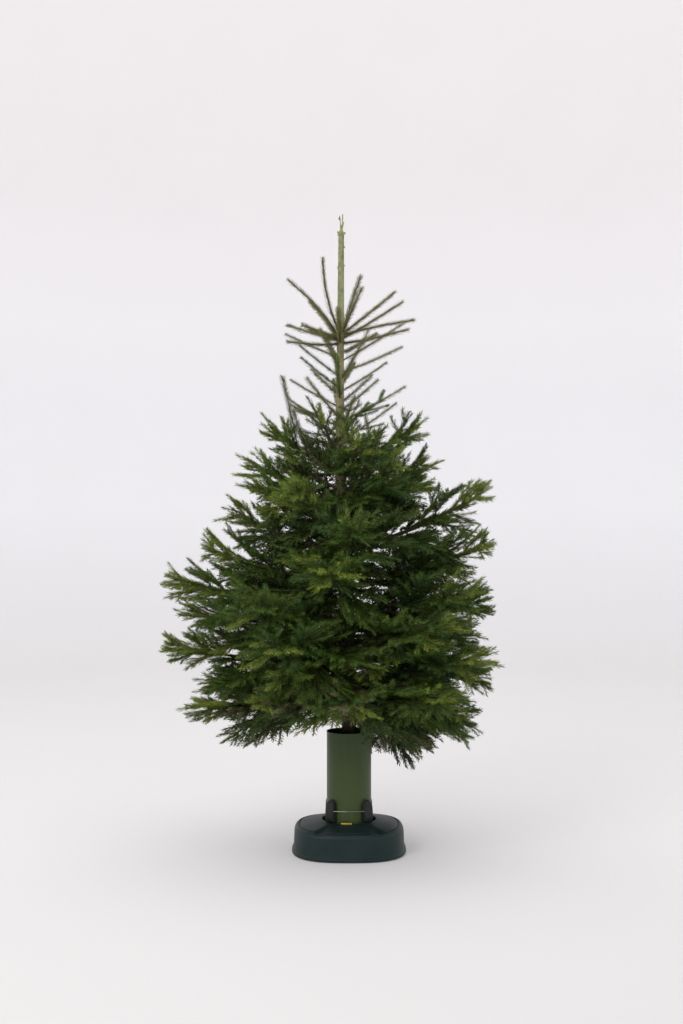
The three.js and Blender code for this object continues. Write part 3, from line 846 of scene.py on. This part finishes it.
# ---- twigs
def twig_rows():
    """a three-sided tapering twig for each shoot that has one"""
    vertices, faces = [], []
    for row in shoots:
        if row["level"] == 0:
            continue
        stations = 4 if row["level"] == 1 else (3 if row["length"] > 70 else 2)
        first = len(vertices)
        for k in range(stations):
            s = k / (stations - 1)
            centre = shoot_point(row, s)
            side, up = shoot_axes(row, s)[1:]
            r = row["root"] * (1 - s) + row["tip"] * s
            for a in ring_angles(3):
                a += math.pi / 2
                vertices.append(centre + side * (r * math.cos(a)) + up * (r * math.sin(a)))
        for k in range(stations - 1):
            for j in range(3):
                a, b = first + 3 * k + j, first + 3 * k + (j + 1) % 3
                faces.append((a, b, b + 3))
                faces.append((a, b + 3, a + 3))
        last = first + 3 * (stations - 1)
        faces.append((last, last + 1, last + 2))
        faces.append((first + 2, first + 1, first))
    return np.array(vertices), np.array(faces)


finished(mesh_object("twigs", *twig_rows()), twig_look())


# ---- bark
TRUNK_CUT, BARK_TOP = 12.4, 2118


def round_limb(path, radius, stations, sides, relief, last=1.0, reference=UP):
    """a limb along a path up to the share last, with its relief, closed at both ends"""
    vertices = []
    for k in range(stations):
        t = last * k / (stations - 1)
        centre = path(t)
        ahead = unit(path(t + 1e-3) - path(t - 1e-3))
        side = unit(cross(reference, ahead))
        up = cross(ahead, side)
        r = radius(t)
        for a in ring_angles(sides):
            out = side * math.cos(a) + up * math.sin(a)
            vertices.append(centre + out * (r + relief(centre + out * r, r)))
    return vertices + [path(0.0), path(last)], fanned_strip(stations, sides)


def bark_relief(point, r):
    place = Vector((point[0] * 0.09, point[1] * 0.09, point[2] * 0.045))
    coarse = noise.fractal(place, 0.7, 2.1, 4)
    near, far = noise.voronoi(Vector((point[0] * 0.1, point[1] * 0.1, point[2] * 0.055)))[0][:2]
    crack = min(1.0, (far - near) * 3.2)
    return r * (0.035 * coarse + 0.05 * (crack - 1))


whorls = sorted(bough["height"] for bough in whorl_boughs)


def trunk_surface(z):
    """the trunk's radius, a little swollen where boughs leave it"""
    swell = sum(1.5 * math.exp(-(((z - height) / 13) ** 2)) for height in whorls)
    swell += 1.7 * math.exp(-(((z - (LEADER_FOOT + 2)) / 16) ** 2))
    return trunk_radius(z) + min(2.2, swell)


def trunk_height(t):
    return TRUNK_CUT + (BARK_TOP - TRUNK_CUT) * t


trunk = mesh_object("trunk_bark", *round_limb(
    lambda t: trunk_at(trunk_height(t)), lambda t: trunk_surface(trunk_height(t)),
    380, 26, bark_relief, reference=BACK,
))
finished(trunk, bark_look("trunk_bark", [
    (0.0, (64, 56, 43)), (0.45, (96, 90, 66)), (0.6, (122, 116, 86)), (0.68, (158, 152, 112)),
    (0.8, (170, 160, 122)), (0.88, (154, 148, 108)), (0.93, (152, 158, 116)),
], 0.5, 1.9), ["trunk"])


def limb_of(bough):
    return round_limb(
        lambda t: bough_point(bough, t), lambda t: bough["root"] * (1 - t) ** 1.1 + 1.9,
        max(12, int(bough["reach"] / 11)), 8, lambda point, r: bark_relief(point * 2.2, r), bough["end"] - 0.01,
    )


limbs = mesh_object("bough_bark", *gathered(limb_of(bough) for bough in boughs))
bough_look = bark_look("bough_bark", [(0.0, (60, 52, 38)), (0.45, (76, 68, 46)), (1.0, (112, 106, 74))], 0.4, 1.7)
finished(limbs, bough_look, [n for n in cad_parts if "_bough_" in n])


def bud(centre, direction, length, radius, sides=8, rings=7):
    """a pointed bud with ridges, whose foot is at the centre given"""
    forward, side, up = frame_along(unit(direction), np.array([0.31, -0.95, 0.05]))
    vertices = []
    for k in range(rings):
        s = (k + 0.02) / (rings - 0.96)
        r = radius * math.sin(math.pi * min(1, s) ** 0.8) ** 0.75 if 0 < s < 1 else 0.05
        for j in range(sides):
            a = 2 * math.pi * (j + 0.5 * (k % 2)) / sides
            ridge = 1 + 0.12 * math.cos(3 * a + 2 * k)
            out = side * (r * ridge * math.cos(a)) + up * (r * ridge * math.sin(a))
            vertices.append(centre + forward * (length * s) + out)
    return vertices, capped_strip(rings, sides)


def bud_on_trunk(z, azimuth, rise, out, below, length, radius):
    azimuth = math.radians(azimuth)
    foot = trunk_at(z) + heading(azimuth, 0) * out - UP * below
    return bud(foot, heading(azimuth, math.radians(rise)), length, radius)


# A ring of buds below the leader's tip, one at the end of each top shoot, and a few along the leader
all_buds = [bud_on_trunk(2101, 20 + 60 * k, 30 + 14 * (k % 2), 6.5, 3 + 3 * (k % 3), 12, 4.0) for k in range(6)]
for row in shoots:
    if row["group"] == "top" and row["level"] == 1:
        all_buds.append(bud(shoot_point(row, 0.985), shoot_axes(row, 1)[0], 7, 2.0))
for z, azimuth in ((1978, 205), (1986, 340), (1982, 90), (2046, 250), (2050, 20)):
    all_buds.append(bud_on_trunk(z, azimuth, 52, 8.6, 0, 9, 3.0))
finished(mesh_object("buds", *gathered(all_buds)), bud_look())


def prong(z0, z1, foot_off, top_off, thick):
    """one bowed prong of the leader's forked tip"""
    foot, top = trunk_at(z0) + np.array(foot_off), trunk_at(z1) + np.array(top_off)
    bow = np.array([0.8, -0.6, 0])
    return round_limb(
        lambda t: foot + (top - foot) * t + bow * (4 * t * (1 - t)),
        lambda t: thick * (1 - 0.45 * t) + 0.35 * math.sin(9 * t), 14, 7, lambda point, r: 0.0, reference=BACK,
    )


leader_tip = gathered([
    prong(2108, TREE_TOP - 1, (1.0, 0, 0), (4.2, 0, 0), 2.7),
    prong(2108, TREE_TOP - 6, (-1.6, 0.5, 0), (-6.0, 0, 0), 2.4),
    prong(2112, 2139, (2.6, -1, 0), (8.0, -1, 0), 1.9),
    bud(trunk_at(TREE_TOP - 21) + np.array([-7.6, 0, 0]), np.array([0.15, 0, 1.0]), 13, 3.3),
])
finished(mesh_object("leader_tip", *leader_tip), looks[PALE])


# ---- stand
# Profiles are pairs of radius and height.
FOOT_SQUARE = 2.7  # exponent of the foot's outline: 2 would be round
TUBE_OUTER, TUBE_INNER, TUBE_FOOT, TUBE_SEAM = 75.5, 72.6, 12.6, math.radians(-83)
CLAW_HALF = 17.0
FIRST_CLAW = 225  # azimuth; the others follow at quarter turns
CABLE_HEIGHT = 147.0
CABLE_RADIUS = 1.55
# Distance of the cable from the axis at each turn away from a claw's middle
CABLE_REACH = {0: 91.0, 7: 90.2, 37: 79.0}
PLATE_CORNER = 2.2


def squareness(angle):
    return (abs(math.cos(angle)) ** FOOT_SQUARE + abs(math.sin(angle)) ** FOOT_SQUARE) ** (-1 / FOOT_SQUARE)


def rounded(points, steps, share):
    """an open profile with its corners rounded"""
    made = [points[0]]
    for before, at, after in zip(points, points[1:], points[2:]):
        before, at, after = (np.array(p, float) for p in (before, at, after))
        reach = share * min(np.linalg.norm(at - before), np.linalg.norm(after - at))
        a = at + unit(before - at) * reach
        b = at + unit(after - at) * reach
        for k in range(steps + 1):
            t = k / steps
            made.append(tuple(a * (1 - t) ** 2 + at * (2 * t * (1 - t)) + b * t * t))
    made.append(points[-1])
    return made


def base_mesh():
    """the foot, round at its rim and squarer outwards, with two shallow dents in its front shoulder"""
    profile = rounded([
        (20, 0.2), (186, 0.2), (193.6, 5), (193.6, 13), (187.6, 17.5), (185, 80), (178, 90.4), (170.5, 93.4),
        (169.5, 89.0), (165.5, 89.0), (164.5, 94.2), (106, 108), (96.5, 110.2), (90.5, 109.2), (90.2, 60),
        (90.2, 12.6), (30, 12.2),
    ], 5, 0.42)
    sides = 128
    vertices = []
    for radius, z in profile:
        for a in ring_angles(sides):
            fade = min(1, max(0, (radius - 104) / 50))
            factor = 1 + (squareness(a) - 1) * fade
            x, y = radius * math.cos(a) * factor, radius * math.sin(a) * factor
            height = z
            if radius > 96 and z > 60:
                for middle in (-77, 77):
                    u = (x - middle) / 33
                    v = (y + 142) / 26
                    dent = max(0.0, 1 - u * u * u * u) * max(0.0, 1 - v * v)
                    height -= 8 * dent
                    y += 7 * dent * (1 if z < 93 else 0.4)
            vertices.append((x, y, height))
    return vertices + [(0, 0, 0.2), (0, 0, 12.2)], fanned_strip(len(profile), sides)


# the last colour and share are the dust and painted sheen on faces that look up
foot_look = moulded_look("foot_plastic", (12, 33, 33), (20, 41, 40), 900, 0.5, (22, 33, 30), 0.5)
finished(mesh_object("foot", *base_mesh()), foot_look, ["base"])


def tube_mesh():
    """the tube, with a fine seam down its front"""
    outer, inner = TUBE_OUTER, TUBE_INNER
    profile = rounded([
        (inner, TUBE_FOOT), (inner, TUBE_TOP - 9), (inner - 0.1, TUBE_TOP - 2), (inner + 0.5, TUBE_TOP),
        (outer + 0.3, TUBE_TOP), (outer + 0.9, TUBE_TOP - 2.6), (outer, TUBE_TOP - 6), (outer, 240),
        (outer, 120), (outer, TUBE_FOOT), (inner, TUBE_FOOT),
    ], 4, 0.3)
    sides = 112
    vertices = []
    for radius, z in profile:
        for a in ring_angles(sides):
            off = abs((a - TUBE_SEAM + math.pi) % (2 * math.pi) - math.pi) * radius
            r = radius - (0.5 * math.exp(-((off / 1.8) ** 2)) if radius > 75 else 0)
            vertices.append((r * math.cos(a), r * math.sin(a), z))
    return vertices, strip(len(profile), sides)


finished(mesh_object("tube_shell", *tube_mesh()), painted_look(), ["tube"])


def claw_mesh(azimuth):
    """a claw as slices across its width, round at its top, with two grooves down its outer face"""
    profile = rounded([
        (81, 115), (76.6, 67), (87.0, 67), (87.2, 111.4), (94.6, 112), (97.2, 126), (95.4, 160), (90, 176),
        (84, 184.4), (77, 184.4), (76.4, 176), (76.4, 160), (80.6, 143), (81, 115),
    ], 4, 0.4)[:-1]
    centre = np.mean(np.array(profile), axis=0)
    # Where each slice stands, as a share of half the width, and how far its outline is drawn in
    slices = [
        (-1.0, 0.84), (-0.97, 0.95), (-0.9, 1.0), (-0.5, 1.0), (0.0, 1.0), (0.5, 1.0), (0.9, 1.0), (0.97, 0.95),
        (1.0, 0.84),
    ]
    cos, sin = math.cos(azimuth), math.sin(azimuth)
    vertices = []
    for across, inset in slices:
        groove = sum(0.9 * math.exp(-(((across * CLAW_HALF - at) / 1.6) ** 2)) for at in (11.5, -11.5))
        for r, z in profile:
            half = CLAW_HALF + 1.4 * math.exp(-(((z - 114) / 16) ** 2))
            if z > 160:
                half = CLAW_HALF * math.sqrt(max(0.03, 1 - ((z - 160) / 25.2) ** 2))
            edge = centre + (np.array([r, z]) - centre) * (1 - (1 - inset) * 0.25)
            if r > 90:
                edge[0] -= groove
            y = across * half
            vertices.append((edge[0] * cos - y * sin, edge[0] * sin + y * cos, edge[1]))
    return vertices, [tuple(reversed(face)) for face in capped_strip(len(slices), len(profile))]


# the last colour and share are the dust and painted sheen on faces that look up
claw_look = moulded_look("claw_plastic", (26, 29, 27), (36, 39, 37), 1100, 0.42, (70, 74, 74), 0.4)
for i in range(4):
    claw = mesh_object(f"claw_cover_{i + 1}", *claw_mesh(math.radians(FIRST_CLAW + 90 * i)))
    finished(claw, claw_look, [f"claw_{i + 1}"])


def cable_mesh():
    """a taut closed loop round the four claws, with the ridges of its strands"""
    corners = []
    for i in range(4):
        for offset in (-37, -7, 0, 7, 37):
            a = math.radians(FIRST_CLAW + 90 * i + offset)
            reach = CABLE_REACH[abs(offset)]
            corners.append(np.array([reach * math.cos(a), reach * math.sin(a), CABLE_HEIGHT]))
    points = []
    for a, b in zip(corners, corners[1:] + corners[:1]):
        steps = max(2, int(np.linalg.norm(b - a) / 2.2))
        points += [a + (b - a) * k / steps for k in range(steps)]
    sides = 12
    vertices = []
    for k, point in enumerate(points):
        ahead = unit(points[(k + 1) % len(points)] - points[k - 1])
        side = unit(cross(UP, ahead))
        for a in ring_angles(sides):
            r = CABLE_RADIUS * (0.9 + 0.1 * math.cos(6 * (a - k * 0.17)))
            vertices.append(point + side * (r * math.cos(a)) + UP * (r * math.sin(a)))
    # One ring more than there are closes the loop on the first
    faces = strip(len(points) + 1, sides)
    return vertices, [tuple(v % len(vertices) for v in face) for face in faces]


cable = mesh_object("cable_strands", *cable_mesh())
finished(cable, metal_look("cable_steel", (196, 198, 198), (150, 152, 152), 600, 0.3), ["cable"])


def plate_mesh():
    """the plate with rounded corners, a raised rim and two rivets"""
    low, high = (np.array(corner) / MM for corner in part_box("latch_plate"))
    x0, y0 = (low[:2] + high[:2]) / 2
    top = high[2]
    half_x, half_y = (high[0] - low[0]) / 2 - 0.3, (high[1] - low[1]) / 2 - 0.2
    outline = []
    for sx, sy, start in ((1, 1, 0), (-1, 1, 90), (-1, -1, 180), (1, -1, 270)):
        for k in range(6):
            a = math.radians(start + 18 * k)
            x = x0 + sx * (half_x - PLATE_CORNER) + PLATE_CORNER * math.cos(a)
            y = y0 + sy * (half_y - PLATE_CORNER) + PLATE_CORNER * math.sin(a)
            outline.append((x, y))
    levels = [
        (0.0, low[2] + 0.5), (0.0, top - 1.2), (0.35, top - 0.4), (1.0, top), (2.0, top), (2.4, top - 0.5),
        (3.2, top - 0.6),
    ]
    vertices = [
        (x0 + (x - x0) * (1 - inset / half_x), y0 + (y - y0) * (1 - inset / half_y), z)
        for inset, z in levels for x, y in outline
    ]
    parts = [(vertices, capped_strip(len(levels), len(outline)))]
    sides = 14
    for place in (-12.0, 12.0):
        rivet = [
            (x0 + place + r * math.cos(a), y0 + r * math.sin(a), z)
            for r, z in ((2.1, top - 0.7), (2.1, top + 0.1), (1.6, top + 0.45), (0.4, top + 0.5))
            for a in ring_angles(sides)
        ]
        parts.append((rivet, strip(4, sides) + [tuple(range(3 * sides, 4 * sides))]))
    return gathered(parts)


plate_look = metal_look("plate_brass", (214, 186, 96), (176, 146, 66), 240, 0.3, (1, 0.1, 1))
finished(mesh_object("plate_cover", *plate_mesh(), smooth=False), plate_look, ["latch_plate"])


# ---- studio
def bowl():
    """pale floor that turns up into a round backdrop"""
    turn_up, bend = 6000.0, 2200
    profile = [(1.0, 0.0), (1500.0, 0.0), (4000.0, 0.0), (turn_up, 0.0)]
    for degrees in range(6, 91, 6):
        a = math.radians(degrees)
        profile.append((turn_up + bend * math.sin(a), bend - bend * math.cos(a)))
    profile += [(8200.0, 4500.0), (8200.0, 7000.0)]
    sides = 96
    angles = ring_angles(sides)
    vertices = [(radius * math.cos(a), radius * math.sin(a), z) for radius, z in profile for a in angles]
    return vertices, [tuple(reversed(face)) for face in strip(len(profile), sides)]


def paper_look():
    """pale paper with painted shade, a little darker towards the camera and lighter with height, and a faint glow
    that is painted light
    """
    made, tree, shader = material("studio_paper")
    paper = noise_of(tree, position(tree), 1.5, 2, 0.5)
    place = node_with(tree, "SeparateXYZ", Vector=position(tree))
    # painted shade: darker on the floor, lighter with height up the backdrop
    painted_height_shade = ramp(tree, span(tree, place.outputs["Z"], 0.0, 1.0, 0.0, 4.0), [
        (0.0, (202, 201, 202)), (0.1, (205, 204, 207)), (0.3, (213, 213, 216)), (0.7, (219, 218, 221)),
        (1.0, (216, 213, 215)),
    ])
    # painted shade: darker towards the camera
    front = span(tree, place.outputs["Y"], 0.27, 0.0, -2.4, 0.0)
    near = blend_colours(tree, front, painted_height_shade, (150, 149, 149))
    sheet = blend_colours(tree, span(tree, paper, 0.0, 0.04), near, (150, 148, 150))
    tree.links.new(sheet, shader.inputs["Base Color"])
    # the paper glows a little: painted light that lifts the shadows on it
    tree.links.new(sheet, shader.inputs["Emission Color"])
    shader.inputs["Emission Strength"].default_value = 0.28
    shader.inputs["Roughness"].default_value = 0.9
    shader.inputs["Specular IOR Level"].default_value = 0.1
    return made


floor = mesh_object("studio_floor", *bowl())
floor.data.materials.append(paper_look())


def soft_light(name, place, target, size, power, colour=(1, 1, 1)):
    light = bpy.data.lights.new(name, "AREA")
    light.shape = "RECTANGLE"
    light.size, light.size_y = size
    light.energy = power
    light.color = colour
    lamp = placed(name, light)
    lamp.location = place
    lamp.rotation_euler = (Vector(target) - Vector(place)).to_track_quat("-Z", "Y").to_euler()


soft_light("key", (-2.5, -4.4, 3.6), (0, 0, 0.9), (2.4, 2.4), 120, (1.0, 0.985, 0.95))
soft_light("fill", (3.4, -3.0, 2.6), (0, 0, 1.0), (2.6, 2.6), 9)
soft_light("top", (0, 0.4, 5.2), (0, 0, 0.5), (3.0, 3.0), 16)
world = bpy.data.worlds.new("studio")
bpy.context.scene.world = world
world.use_nodes = True
background = world.node_tree.nodes["Background"]
background.inputs["Color"].default_value = (1.0, 0.99, 0.975, 1)
background.inputs["Strength"].default_value = 1.2
bpy.context.scene.view_settings.view_transform = "Standard"
